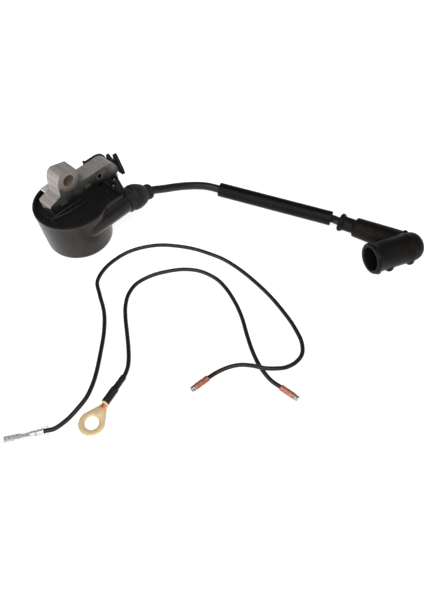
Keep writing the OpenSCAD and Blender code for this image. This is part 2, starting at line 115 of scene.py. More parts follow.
LEAD_ROUTE = [
    (20, -15.6, 20.6), (28.5, -15.6, 20.6), (33, -15.9, 19.3), (40, -16.3, 17.4), (46.5, -16.6, 15.6),
    (55, -19.3, 12.9), (62, -21.5, 10.8), (68.5, -24, 8.8), (74.5, -27.5, 7.2), (79.5, -31.7, 6),
    (83, -36.5, 5), (85.2, -41.4, 4.6), (94.3, -64.5, 4.6), (103.4, -87.6, 4.6), (110.4, -105.5, 4.6),
    (112, -109.8, 4.8),
    ahead(ARM_AT, ARM_AZ, ARM_EL, 1), ahead(ARM_AT, ARM_AZ, ARM_EL, 12), ahead(ARM_AT, ARM_AZ, ARM_EL, 27),
]

KILL_ROUTE = [
    ahead(BLADE_AT, BLADE_AZ, 0, 16.6), (-91.8, -85.4, 2.05), (-88.4, -87.6, 1.9),
    *on_bench(
        (-81.5, -88.2), (-74, -87.5), (-67, -86), (-58, -81.2), (-47, -72.7), (-36, -63.1), (-28.3, -54.1),
        (-22, -43), (-17.2, -35.5), (-9, -31.7), (0, -30.8), (10, -32.3), (19, -36.6), (27, -43),
        (33, -50.8), (38, -59.5), (41.5, -68.7), (44.2, -79), (44.8, -91), (43.7, -104.2), (41.3, -117.8),
        (36.8, -132.6), (33.5, -140.3), (29.5, -147), (24, -151.4), (18, -152),
    ),
    # Over the earth wire in one low hump
    (12, -150.2, 1.7), (7.3, -147, 2.9), (3, -142.5, 3.75), (0, -136.5, 3), (-3.2, -131.5, 1.8),
    *on_bench((-8, -127.8), (-14.2, -125.3)),
    ahead(KILL_SOCKET_AT, KILL_SOCKET_AZ, 0, 0.6), ahead(KILL_SOCKET_AT, KILL_SOCKET_AZ, 0, 5),
]

GROUND_ROUTE = [
    ahead(RING_WIRE_AT, RING_AZ, 0, 19), ahead(RING_WIRE_AT, RING_AZ, 0, 27.6),
    *on_bench(
        (-43, -89.4), (-39.3, -86.2), (-34.7, -81), (-29, -73.7), (-23, -65.9), (-17.6, -60), (-11, -55.4),
        (-3, -53.4), (6.8, -55.6), (15.6, -60.5), (23, -66.6), (28.2, -74.4), (30.4, -84.5), (29.2, -93.4),
        (25, -104.5), (19.9, -113.6), (13.2, -122.8), (7, -132.2), (3, -140.5), (1, -148.5),
    ),
    ahead(GROUND_SOCKET_AT, GROUND_SOCKET_AZ, 0, 0.6), ahead(GROUND_SOCKET_AT, GROUND_SOCKET_AZ, 0, 5),
]


def smooth_line(route, steps):
    """One smooth line through every point of a route, in metres."""
    knots = [Vector(point) * MM for point in route]
    line = []
    for i in range(len(knots) - 1):
        a, b = knots[i], knots[i + 1]
        before, after = knots[max(i - 1, 0)], knots[min(i + 2, len(knots) - 1)]
        leave = (b - before) * (a - b).length / max((a - before).length + (b - a).length, 1e-9)
        arrive = (after - a) * (a - b).length / max((b - a).length + (after - b).length, 1e-9)
        for step in range(steps):
            t = step / steps
            line.append(
                (2 * t**3 - 3 * t**2 + 1) * a + (t**3 - 2 * t**2 + t) * leave
                + (3 * t**2 - 2 * t**3) * b + (t**3 - t**2) * arrive
            )
    line.append(knots[-1])
    return line


def laid_cord(name, line, diameter, sides):
    """A round cord along one open line, made into a tube."""
    bpy.ops.object.select_all(action="DESELECT")
    curve = bpy.data.curves.new(name, "CURVE")
    curve.dimensions = "3D"
    curve.bevel_depth = diameter / 2 * MM
    curve.bevel_resolution = sides
    curve.use_fill_caps = True
    spline = curve.splines.new("POLY")
    spline.points.add(len(line) - 1)
    for knot, point in zip(spline.points, line):
        knot.co = (*point, 1)
    cord = bpy.data.objects.new(name, curve)
    bpy.context.scene.collection.objects.link(cord)
    cord.select_set(True)
    bpy.context.view_layer.objects.active = cord
    bpy.ops.object.convert(target="MESH")
    cord = bpy.context.object
    bpy.ops.object.shade_smooth_by_angle(angle=math.radians(50))
    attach(cord, "coil")
    return cord


lead_line = smooth_line(LEAD_ROUTE, 9)
kill_line = smooth_line(KILL_ROUTE, 7)
ground_line = smooth_line(GROUND_ROUTE, 7)
lead = laid_cord("high_tension_lead", lead_line, LEAD_D, 8)
kill_lead = laid_cord("stop_switch_wire", kill_line, WIRE_D, 5)
ground_lead = laid_cord("earth_wire", ground_line, WIRE_D, 5)
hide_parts("plug_lead")
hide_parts("kill_wire")
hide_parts("ground_wire")


# ---- Ways of working that every piece shares ----

def nothing_selected():
    """Leaves edit mode and lets go of everything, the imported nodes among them."""
    if bpy.context.object and bpy.context.object.mode != "OBJECT":
        bpy.ops.object.mode_set(mode="OBJECT")
    bpy.ops.object.select_all(action="DESELECT")


def only(piece):
    nothing_selected()
    piece.select_set(True)
    bpy.context.view_layer.objects.active = piece


def named(name):
    piece = bpy.context.object
    piece.name = name
    piece.data.name = name
    return piece


def leave_in_mesh():
    """Moves the place, turn and size of the selected piece into its mesh."""
    bpy.ops.object.transform_apply(location=True, rotation=True, scale=True)


def settle(piece, at=(0, 0, 0), turn=(0, 0, 0)):
    """Puts a piece in its place, in millimetres and degrees, and leaves that place in its mesh."""
    only(piece)
    piece.location = [value * MM for value in at]
    piece.rotation_euler = [math.radians(value) for value in turn]
    leave_in_mesh()
    return piece


def edit(piece, mode="VERT"):
    only(piece)
    bpy.ops.object.mode_set(mode="EDIT")
    bpy.ops.mesh.select_mode(type=mode)
    bpy.ops.mesh.select_all(action="SELECT")


def done():
    bpy.ops.object.mode_set(mode="OBJECT")


def apply_modifier(piece, kind, **values):
    modifier = piece.modifiers.new(kind.lower(), kind)
    for key, value in values.items():
        setattr(modifier, key, value)
    only(piece)
    bpy.ops.object.modifier_apply(modifier=modifier.name)
    return piece


def rounded(piece, width, angle=30, segments=2):
    return apply_modifier(
        piece, "BEVEL", width=width * MM, segments=segments, limit_method="ANGLE",
        angle_limit=math.radians(angle), use_clamp_overlap=True, miter_outer="MITER_ARC",
    )


def smooth(piece, angle=32):
    only(piece)
    bpy.ops.object.shade_smooth_by_angle(angle=math.radians(angle))
    return piece


def tidy_mesh(piece):
    edit(piece)
    bpy.ops.mesh.remove_doubles(threshold=SAME_POINT)
    bpy.ops.mesh.normals_make_consistent(inside=False)
    done()
    return piece


def turned(name, profile, at=(0, 0, 0), az=0, el=90, steps=64):
    """A lathe shape: the profile is (radius, distance along the axis) and is spun round the axis."""
    nothing_selected()
    bpy.ops.mesh.primitive_plane_add(size=MM, location=(0, 0, 0))
    piece = named(name)
    edit(piece)
    bpy.ops.mesh.merge(type="CENTER")
    bpy.ops.transform.translate(value=(profile[0][0] * MM, 0, profile[0][1] * MM))
    for (r0, s0), (r1, s1) in zip(profile, profile[1:]):
        bpy.ops.mesh.extrude_vertices_move(
            TRANSFORM_OT_translate={"value": ((r1 - r0) * MM, 0, (s1 - s0) * MM)}
        )
    bpy.ops.mesh.select_all(action="SELECT")
    bpy.ops.mesh.spin(steps=steps, angle=2 * math.pi, center=(0, 0, 0), axis=(0, 0, 1))
    done()
    tidy_mesh(piece)
    return settle(piece, at, (0, 90 - el, az))


def plate(name, outline, holes, thickness, corner=0.0):
    """A flat sheet cut to an outline with round holes, lying on z = 0."""
    nothing_selected()
    bpy.ops.mesh.primitive_circle_add(
        vertices=len(outline), radius=MM, fill_type="NOTHING", location=(0, 0, 0)
    )
    piece = named(name)
    for vertex, (x, y) in zip(piece.data.vertices, outline):
        vertex.co = (x * MM, y * MM, 0)
    edit(piece)
    if corner:
        bpy.ops.mesh.bevel(offset=corner * MM, segments=4, affect="VERTICES", clamp_overlap=True)
    bpy.ops.mesh.select_all(action="DESELECT")
    for x, y, radius, steps in holes:
        bpy.ops.mesh.primitive_circle_add(
            vertices=steps, radius=radius * MM, fill_type="NOTHING", location=(x * MM, y * MM, 0)
        )
    bpy.ops.mesh.select_all(action="SELECT")
    bpy.ops.mesh.fill(use_beauty=True)
    bpy.ops.mesh.select_all(action="SELECT")
    bpy.ops.mesh.extrude_region_move(TRANSFORM_OT_translate={"value": (0, 0, thickness * MM)})
    done()
    return tidy_mesh(piece)


def block(name, low, high, width):
    """A block between two corners with its edges broken."""
    nothing_selected()
    size = [b - a for a, b in zip(low, high)]
    middle = [(a + b) / 2 * MM for a, b in zip(low, high)]
    bpy.ops.mesh.primitive_cube_add(size=MM, location=middle)
    piece = named(name)
    piece.scale = size
    leave_in_mesh()
    return rounded(piece, width)


def joined(name, pieces):
    nothing_selected()
    for piece in pieces:
        piece.select_set(True)
    bpy.context.view_layer.objects.active = pieces[0]
    bpy.ops.object.join()
    return named(name)


def from_node(name, node, width, segments=2):
    """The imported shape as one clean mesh, with its sharp edges rounded."""
    nothing_selected()
    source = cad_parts[node]
    piece = bpy.data.objects.new(name, source.data.copy())
    piece.data.name = name
    bpy.context.scene.collection.objects.link(piece)
    piece.data.materials.clear()
    edit(piece)
    bpy.ops.mesh.customdata_custom_splitnormals_clear()
    bpy.ops.mesh.remove_doubles(threshold=SAME_POINT)
    bpy.ops.mesh.select_all(action="SELECT")
    bpy.ops.mesh.dissolve_limited(angle_limit=math.radians(1.0))
    bpy.ops.mesh.select_mode(type="EDGE")
    bpy.ops.mesh.select_all(action="DESELECT")
    bpy.ops.mesh.edges_select_sharp(sharpness=math.radians(30))
    bpy.ops.mesh.bevel(offset=width * MM, segments=segments, profile=0.5, clamp_overlap=True)
    done()
    return piece


def keep(piece, body, node_names, material):
    """Hands a finished piece over: what it rides on, what it stands for and its finish."""
    piece.data.materials.clear()
    piece.data.materials.append(material)
    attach(piece, body)
    if node_names:
        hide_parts(*node_names)
    return piece


# ---- Shared finishes: groups that put out colours, masks, values and heights ----

def new_group(name, inputs, outputs):
    tree = bpy.data.node_groups.new(name, "ShaderNodeTree")
    for label, kind, value in inputs:
        socket = tree.interface.new_socket(label, in_out="INPUT", socket_type=kind)
        socket.default_value = value
    for label, kind in outputs:
        tree.interface.new_socket(label, in_out="OUTPUT", socket_type=kind)
    start = tree.nodes.new("NodeGroupInput")
    end = tree.nodes.new("NodeGroupOutput")
    return tree, start.outputs, end


def feed(tree, node, **links):
    """Links sockets into the inputs of a node; an underscore stands for a space."""
    for key, socket in links.items():
        tree.links.new(socket, node.inputs[key.replace("_", " ")])
    return node


def fill(tree, socket, value):
    """Gives a socket a plain value, or links another socket into it."""
    if isinstance(value, (int, float, tuple)):
        socket.default_value = value
    else:
        tree.links.new(value, socket)


def add(tree, kind, values=None, **links):
    """A node with its settings; links are input name -> output socket."""
    node = tree.nodes.new(kind)
    for key, value in (values or {}).items():
        if key in node.inputs.keys():
            node.inputs[key].default_value = value
        else:
            setattr(node, key, value)
    return feed(tree, node, **links)


def noise(tree, place, scale, detail, roughness=0.5):
    node = add(tree, "ShaderNodeTexNoise", {"Detail": detail, "Roughness": roughness}, Vector=place)
    fill(tree, node.inputs["Scale"], scale)
    return node.outputs["Fac"]


def span(tree, value, low, high, to_low=0.0, to_high=1.0):
    """Eases a value from one range to another."""
    node = add(tree, "ShaderNodeMapRange", {"interpolation_type": "SMOOTHSTEP"}, Value=value)
    for key, number in (("From Min", low), ("From Max", high), ("To Min", to_low), ("To Max", to_high)):
        fill(tree, node.inputs[key], number)
    return node.outputs["Result"]


def maths(tree, operation, *values):
    node = add(tree, "ShaderNodeMath", {"operation": operation})
    for socket, value in zip(node.inputs, values):
        fill(tree, socket, value)
    return node.outputs[0]


def times(tree, a, b):
    return maths(tree, "MULTIPLY", a, b)


def plus(tree, a, b):
    return maths(tree, "ADD", a, b)


def mixed(tree, factor, a, b):
    """One colour laid over another; the colour sockets of the node are numbers 6 and 7."""
    node = add(tree, "ShaderNodeMix", {"data_type": "RGBA"})
    for index, value in ((0, factor), (6, a), (7, b)):
        fill(tree, node.inputs[index], value)
    return node.outputs[2]


VECTOR, COLOUR, NUMBER = "NodeSocketVector", "NodeSocketColor", "NodeSocketFloat"


def grain_group():
    """Cloudy tone, fine grain and an uneven gloss, for plastics and rubbers."""
    tree, given, end = new_group(
        "moulded_grain",
        [("Place", VECTOR, (0, 0, 0)), ("Tone", COLOUR, (0.03, 0.03, 0.03, 1)),
         ("Worn Tone", COLOUR, (0.06, 0.06, 0.06, 1)), ("Cloud Scale", NUMBER, 120.0),
         ("Grain Scale", NUMBER, 3000.0), ("Dull", NUMBER, 0.5), ("Bright", NUMBER, 0.35)],
        [("Colour", COLOUR), ("Roughness", NUMBER), ("Height", NUMBER)],
    )
    cloud = noise(tree, given["Place"], given["Cloud Scale"], 4.0, 0.6)
    grain = noise(tree, given["Place"], given["Grain Scale"], 2.0)
    patch = span(tree, cloud, 0.35, 0.7)
    shade = mixed(tree, patch, given["Tone"], given["Worn Tone"])
    speck = span(tree, grain, 0.3, 0.75, 0.86, 1.12)
    toned = add(tree, "ShaderNodeVectorMath", {"operation": "SCALE"}, Vector=shade, Scale=speck)
    gloss = span(tree, cloud, 0.3, 0.7, given["Dull"], given["Bright"])
    gloss = plus(tree, gloss, span(tree, grain, 0.3, 0.7, -0.03, 0.03))
    height = plus(tree, times(tree, grain, 0.35), times(tree, cloud, 0.65))
    feed(tree, end, Colour=toned.outputs[0], Roughness=gloss, Height=height)
    return tree


def wear_group():
    """Lighter rubbed edges, broken up by a fine noise."""
    tree, given, end = new_group(
        "rubbed_edges",
        [("Place", VECTOR, (0, 0, 0)), ("Colour", COLOUR, (0.03, 0.03, 0.03, 1)),
         ("Edge Colour", COLOUR, (0.2, 0.2, 0.2, 1)), ("Amount", NUMBER, 0.5)],
        [("Colour", COLOUR), ("Mask", NUMBER)],
    )
    shape = tree.nodes.new("ShaderNodeNewGeometry")
    rub = noise(tree, given["Place"], 900.0, 3.0)
    edge = span(tree, shape.outputs["Pointiness"], 0.52, 0.62)
    broken = times(tree, edge, span(tree, rub, 0.35, 0.6))
    mask = times(tree, broken, given["Amount"])
    feed(tree, end, Colour=mixed(tree, mask, given["Colour"], given["Edge Colour"]), Mask=mask)
    return tree


def dust_group():
    """Small pale specks of dust and lint, scattered thinly."""
    tree, given, end = new_group(
        "dust_specks",
        [("Place", VECTOR, (0, 0, 0)), ("Colour", COLOUR, (0.03, 0.03, 0.03, 1)),
         ("Dust Colour", COLOUR, (0.4, 0.39, 0.37, 1)), ("Scale", NUMBER, 700.0), ("Amount", NUMBER, 0.5)],
        [("Colour", COLOUR), ("Mask", NUMBER)],
    )
    cells = add(tree, "ShaderNodeTexVoronoi", {"Randomness": 1.0}, Vector=given["Place"],
                Scale=given["Scale"])
    where = noise(tree, given["Place"], 260.0, 2.0)
    dot = span(tree, cells.outputs["Distance"], 0.1, 0.22, 1.0, 0.0)
    few = span(tree, where, 0.55, 0.66)
    mask = times(tree, times(tree, dot, few), given["Amount"])
    feed(tree, end, Colour=mixed(tree, mask, given["Colour"], given["Dust Colour"]), Mask=mask)
    return tree


def metal_group():
    """Drawn or rolled metal: fine streaks along one direction, with dull patches."""
    tree, given, end = new_group(
        "drawn_metal",
        [("Place", VECTOR, (0, 0, 0)), ("Bright Metal", COLOUR, (0.8, 0.8, 0.8, 1)),
         ("Dull Metal", COLOUR, (0.5, 0.5, 0.5, 1)), ("Streak Scale", NUMBER, 2000.0),
         ("Smooth", NUMBER, 0.25), ("Rough", NUMBER, 0.45)],
        [("Colour", COLOUR), ("Roughness", NUMBER), ("Height", NUMBER)],
    )
    streak = noise(tree, given["Place"], given["Streak Scale"], 3.0, 0.65)
    patch = noise(tree, given["Place"], 350.0, 4.0, 0.6)
    both = plus(tree, times(tree, streak, 0.5), times(tree, patch, 0.5))
    colour = mixed(tree, span(tree, both, 0.38, 0.62), given["Bright Metal"], given["Dull Metal"])
    rough = span(tree, both, 0.35, 0.65, given["Smooth"], given["Rough"])
    feed(tree, end, Colour=colour, Roughness=rough, Height=streak)
    return tree


GRAIN = grain_group()
WEAR = wear_group()
DUST = dust_group()
METAL = metal_group()


def use(tree, group, values=None, **links):
    node = tree.nodes.new("ShaderNodeGroup")
    node.node_tree = group
    for key, value in (values or {}).items():
        node.inputs[key].default_value = value
    return feed(tree, node, **links)


def blank(name):
    material = bpy.data.materials.new(name)
    material.use_nodes = True
    tree = material.node_tree
    shader = tree.nodes["Principled BSDF"]
    place = tree.nodes.new("ShaderNodeTexCoord").outputs["Object"]
    return material, tree, shader, place


def bumped(tree, shader, height, depth):
    bump = add(tree, "ShaderNodeBump", {"Strength": 1.0, "Distance": depth * MM}, Height=height)
    feed(tree, shader, Normal=bump.outputs["Normal"])


def grey(level, tint=(1, 1, 1)):
    return (level * tint[0], level * tint[1], level * tint[2], 1)


def moulded(name, tone, worn, edge, dull, bright, cloud=120, grain=3000, depth=0.02, rub=0.5, dust=0.35,
            coat=0.0, specular=0.5, warm=(1.0, 0.93, 0.87, 1)):
    """Black plastics and rubbers."""
    material, tree, shader, place = blank(name)
    base = use(tree, GRAIN, {"Tone": tone, "Worn Tone": worn, "Cloud Scale": cloud, "Grain Scale": grain,
                             "Dull": dull, "Bright": bright}, Place=place)
    rubbed = use(tree, WEAR, {"Edge Colour": edge, "Amount": rub}, Place=place,
                 Colour=base.outputs["Colour"])
    dusty = use(tree, DUST, {"Amount": dust}, Place=place, Colour=rubbed.outputs["Colour"])
    rough = plus(tree, base.outputs["Roughness"], times(tree, dusty.outputs["Mask"], 0.3))
    feed(tree, shader, Base_Color=dusty.outputs["Colour"], Roughness=rough)
    bumped(tree, shader, base.outputs["Height"], depth)
    shader.inputs["Specular IOR Level"].default_value = specular
    shader.inputs["Coat Weight"].default_value = coat
    shader.inputs["Coat Roughness"].default_value = 0.15
    shader.inputs["Specular Tint"].default_value = warm
    return material


def bare_metal(name, bright, dull, smooth_level, rough_level, stretch=(1, 1, 1), streak=2000, depth=0.01,
               metallic=1.0):
    """Tinned, brass and copper parts, with streaks drawn out along one axis."""
    material, tree, shader, place = blank(name)
    drawn = add(tree, "ShaderNodeMapping", {"Scale": stretch}, Vector=place)
    base = use(tree, METAL, {"Bright Metal": bright, "Dull Metal": dull, "Streak Scale": streak,
                             "Smooth": smooth_level, "Rough": rough_level}, Place=drawn.outputs[0])
    rubbed = use(tree, WEAR, {"Edge Colour": bright, "Amount": 0.6}, Place=place,
                 Colour=base.outputs["Colour"])
    feed(tree, shader, Base_Color=rubbed.outputs["Colour"], Roughness=base.outputs["Roughness"])
    shader.inputs["Metallic"].default_value = metallic
    bumped(tree, shader, base.outputs["Height"], depth)
    return material


def resin_finish():
    """Glossy black casting resin with slow ripples and a few specks."""
    material, tree, shader, place = blank("cast_resin")
    ripple = noise(tree, place, 160.0, 3.0, 0.55)
    base = use(tree, GRAIN, {"Tone": grey(0.006), "Worn Tone": grey(0.01), "Cloud Scale": 90.0,
                             "Grain Scale": 900.0, "Dull": 0.3, "Bright": 0.16}, Place=place)
    dusty = use(tree, DUST, {"Scale": 260.0, "Amount": 0.3, "Dust Colour": (0.3, 0.31, 0.3, 1)},
                Place=place, Colour=base.outputs["Colour"])
    rough = plus(tree, base.outputs["Roughness"], times(tree, dusty.outputs["Mask"], 0.4))
    feed(tree, shader, Base_Color=dusty.outputs["Colour"], Roughness=rough)
    height = plus(tree, ripple, times(tree, dusty.outputs["Mask"], 0.5))
    bumped(tree, shader, height, 0.16)
    shader.inputs["Specular IOR Level"].default_value = 0.36
    return material


def from_middle(tree, place, hole):
    """How far a point is from the middle of a hole, in millimetres."""
    node = add(tree, "ShaderNodeVectorMath", {"operation": "DISTANCE"}, Vector=place)
    node.inputs[1].default_value = (hole[0], 0, hole[1])
    return node.outputs["Value"]


def core_finish():
    """Steel sheet stack: bright cut edges, and a front sheet varnished beige at the top, with painted shade
    that darkens it to black below.
    """
    material, tree, shader, place = blank("core_sheets")
    split = add(tree, "ShaderNodeSeparateXYZ", Vector=place)
    across, depth_y, high_z = (times(tree, split.outputs[axis], 1 / MM) for axis in "XYZ")
    # Cut edges: each sheet has its own tone, with grinding marks across the stack
    sheet = maths(tree, "FLOOR", maths(tree, "DIVIDE", plus(tree, depth_y, -CORE_FRONT), SHEET_STEP))
    tone = add(tree, "ShaderNodeTexWhiteNoise", {"noise_dimensions": "1D"}, W=sheet)
    ground = add(tree, "ShaderNodeMapping", {"Scale": (1, 0.12, 1)}, Vector=place)
    marks = use(tree, METAL, {"Bright Metal": (0.37, 0.34, 0.315, 1), "Dull Metal": (0.27, 0.248, 0.228, 1),
                              "Streak Scale": 900.0, "Smooth": 0.42, "Rough": 0.55},
                Place=ground.outputs[0])
    stripe = span(tree, tone.outputs["Value"], 0.0, 1.0, 0.94, 1.05)
    edges = add(tree, "ShaderNodeVectorMath", {"operation": "SCALE"}, Vector=marks.outputs["Colour"],
                Scale=stripe)
    # Front and back sheets: beige varnished coat at the top, with painted shade below it that turns the
    # face dark grey and then near black towards the bottom, and reaches less far up at the right end
    cloud = noise(tree, place, 170.0, 4.0, 0.62)
    level = plus(tree, high_z, span(tree, cloud, 0.3, 0.7, -3.0, 3.0))
    level = plus(tree, level, span(tree, across, 12.0, 34.0, 0.0, 6.0))
    # Painted shade tones for the lower front face, darkest at the bottom
    low_painted_shade, mid_painted_shade = grey(0.013, (0.95, 1, 0.95)), grey(0.062, (1, 1, 0.93))
    painted_shade_lower_face = mixed(tree, span(tree, level, 31.0, 38.5), low_painted_shade, mid_painted_shade)
    varnish_and_painted_light = mixed(tree, span(tree, level, 38.0, 44.5), painted_shade_lower_face, (0.19, 0.176, 0.152, 1))
    face = add(tree, "ShaderNodeCombineXYZ", {"Y": 0.0}, X=across, Z=high_z)
    gap, small_gap = (from_middle(tree, face.outputs[0], hole) for hole in (HOLE_XZ, SMALL_XZ))
    # Painted highlight: a light ring just round the edge of the big hole
    rim = times(tree, span(tree, gap, 3.9, 4.3, 1.0, 0.0), 0.7)
    varnish_and_painted_light = mixed(tree, rim, varnish_and_painted_light, (0.33, 0.3, 0.235, 1))
    halo = times(tree, span(tree, gap, 5.6, 7.2, 1.0, 0.0), 0.45)
    varnish_and_painted_light = mixed(tree, halo, varnish_and_painted_light, (0.27, 0.235, 0.19, 1))
    faces = tree.nodes.new("ShaderNodeNewGeometry")
    facing = add(tree, "ShaderNodeSeparateXYZ", Vector=faces.outputs["Normal"])
    flat = span(tree, maths(tree, "ABSOLUTE", facing.outputs["Y"]), 0.75, 0.95)
    colour = mixed(tree, flat, edges.outputs[0], varnish_and_painted_light)
    # Resin has run down over the near corner of the left end
    run = plus(tree, high_z, times(tree, maths(tree, "SUBTRACT", depth_y, 8.6), 0.5))
    run = plus(tree, run, span(tree, cloud, 0.3, 0.7, -0.5, 0.5))
    left = span(tree, across, -12.0, -11.0, 1.0, 0.0)
    wet = times(tree, span(tree, run, 28.2, 29.4, 0.95, 0.0), left)
    colour = mixed(tree, wet, colour, grey(0.012))
    # Painted shade on the walls of both holes: brownish dark in the big hole and near black in the small
    # one
    inside = span(tree, gap, HOLE_R + 0.02, HOLE_R + 0.1, 0.8, 0.0)
    colour = mixed(tree, inside, colour, (0.17, 0.13, 0.095, 1))
    # Painted highlight: a light ring round the edge of the small hole, on the flat face
    ring = times(tree, span(tree, small_gap, 2.1, 2.5, 0.55, 0.0), flat)
    colour = mixed(tree, ring, colour, (0.24, 0.21, 0.17, 1))
    # Painted shade: the small hole's wall is near black
    small_hole_wall_shade = span(tree, small_gap, SMALL_R + 0.02, SMALL_R + 0.1, 1.0, 0.0)
    colour = mixed(tree, small_hole_wall_shade, colour, grey(0.01))
    shader.inputs["Metallic"].default_value = 0.25
    rough = plus(tree, marks.outputs["Roughness"], times(tree, flat, -0.12))
    feed(tree, shader, Base_Color=colour, Roughness=rough)
    height = plus(tree, marks.outputs["Height"], times(tree, cloud, 1.5))
    bumped(tree, shader, height, 0.02)
    return material


def clear_finish():
    """Clear soft tube, a little cloudy, with faint streaks from being drawn."""
    material, tree, shader, place = blank("clear_tube_vinyl")
    base = use(tree, GRAIN, {"Tone": (0.93, 0.94, 0.95, 1), "Worn Tone": (0.99, 0.99, 0.99, 1), "Dull": 0.2,
                             "Cloud Scale": 300.0, "Grain Scale": 2500.0, "Bright": 0.08}, Place=place)
    feed(tree, shader, Base_Color=base.outputs["Colour"], Roughness=base.outputs["Roughness"])
    shader.inputs["Transmission Weight"].default_value = 1.0
    shader.inputs["IOR"].default_value = 1.12
    bumped(tree, shader, base.outputs["Height"], 0.01)
    return material


housing_plastic = moulded(
    "housing_plastic", grey(0.008, (1.15, 1, 0.92)), grey(0.013, (1.15, 1, 0.92)), grey(0.08), 0.34, 0.22,
    cloud=60, grain=2600, depth=0.012, rub=0.35, dust=0.15, specular=0.24)
trim_plastic = moulded(
    "trim_plastic", grey(0.006), grey(0.01), grey(0.06), 0.45, 0.34, rub=0.4, specular=0.25)
grommet_rubber = moulded(
    "grommet_rubber", (0.012, 0.012, 0.014, 1), (0.018, 0.018, 0.021, 1), grey(0.07), 0.7, 0.55,
    cloud=140, grain=2200, depth=0.04, rub=0.35, specular=0.22, warm=(0.95, 0.96, 1.0, 1))
lead_rubber = moulded(
    "lead_rubber", grey(0.009, (1.1, 1, 0.92)), grey(0.014, (1.1, 1, 0.92)), grey(0.05), 0.42, 0.3,
    cloud=70, grain=1800, depth=0.025, rub=0.2, dust=0.2, specular=0.3)
sleeve_plastic = moulded(
    "sleeve_plastic", grey(0.0035, (1.08, 1, 0.92)), grey(0.006, (1.08, 1, 0.92)), grey(0.05), 0.4, 0.3,
    cloud=60, grain=1500, depth=0.03, rub=0.3, dust=0.2, specular=0.11)
boot_rubber = moulded(
    "boot_rubber", grey(0.0035, (1.1, 1, 0.95)), grey(0.007, (1.1, 1, 0.95)), grey(0.045), 0.58, 0.42,
    cloud=110, grain=1700, depth=0.06, rub=0.4, dust=0.2, specular=0.12)
wire_vinyl = moulded(
    "wire_vinyl", grey(0.007, (1.15, 1, 0.88)), grey(0.011, (1.15, 1, 0.88)), grey(0.05), 0.4, 0.28,
    cloud=80, grain=2500, depth=0.01, rub=0.15, dust=0.15, specular=0.35)
shrink_tube = moulded(
    "shrink_tube", grey(0.005, (1.1, 1, 0.92)), grey(0.009, (1.1, 1, 0.92)), grey(0.05), 0.5, 0.38,
    cloud=420, grain=2500, depth=0.09, rub=0.2, dust=0.15, specular=0.3)
resin = resin_finish()
core_steel = core_finish()
clear_vinyl = clear_finish()
tinned = bare_metal(
    "tinned_metal", (0.9, 0.9, 0.89, 1), (0.68, 0.68, 0.67, 1), 0.28, 0.45, streak=1600, metallic=0.6)
socket_metal = bare_metal(
    "socket_metal", (0.5, 0.48, 0.45, 1), (0.2, 0.18, 0.16, 1), 0.25, 0.45, streak=900, metallic=0.9)
varnished_mark = bare_metal(
    "varnished_mark", (0.17, 0.17, 0.155, 1), (0.09, 0.092, 0.085, 1), 0.32, 0.5, streak=1400, metallic=0.3)
brass = bare_metal(
    "pale_brass", (0.98, 0.76, 0.46, 1), (0.92, 0.68, 0.4, 1), 0.32, 0.48, streak=900, depth=0.008,
    metallic=0.5)
bare_copper = bare_metal(
    "bare_copper", (0.66, 0.24, 0.12, 1), (0.4, 0.11, 0.05, 1), 0.3, 0.5, streak=2500, metallic=0.8)
copper_tube = bare_metal(
    "copper_sleeving", (0.5, 0.2, 0.12, 1), (0.3, 0.1, 0.06, 1), 0.34, 0.5, streak=1200, metallic=0.45)
wound_copper = bare_metal(
    "wound_copper", (0.7, 0.3, 0.16, 1), (0.4, 0.14, 0.07, 1), 0.28, 0.42, stretch=(0.1, 0.1, 1),
    streak=4200, depth=0.05)
bobbin_plastic = moulded(
    "bobbin_plastic", (0.62, 0.58, 0.46, 1), (0.7, 0.67, 0.56, 1), (0.8, 0.78, 0.7, 1), 0.5, 0.38, rub=0.4,
    dust=0.1)
board_green = moulded(
    "board_green", (0.02, 0.13, 0.055, 1), (0.03, 0.18, 0.08, 1), (0.3, 0.34, 0.2, 1), 0.4, 0.28, dust=0.2,
    coat=0.3)
dipped_part = moulded(
    "dipped_part", (0.42, 0.12, 0.04, 1), (0.5, 0.17, 0.06, 1), (0.6, 0.3, 0.15, 1), 0.3, 0.2, rub=0.3,
    dust=0.1, coat=0.3)

for cord, material in ((lead, lead_rubber), (kill_lead, wire_vinyl), (ground_lead, wire_vinyl)):
    cord.data.materials.append(material)


# ---- Coil ----

def cut(piece, *cutters):
    """Takes the cutters out of a piece and throws them away."""
    for cutter in cutters:
        apply_modifier(piece, "BOOLEAN", operation="DIFFERENCE", object=cutter, solver="EXACT")
        bpy.data.objects.remove(cutter)
    return piece


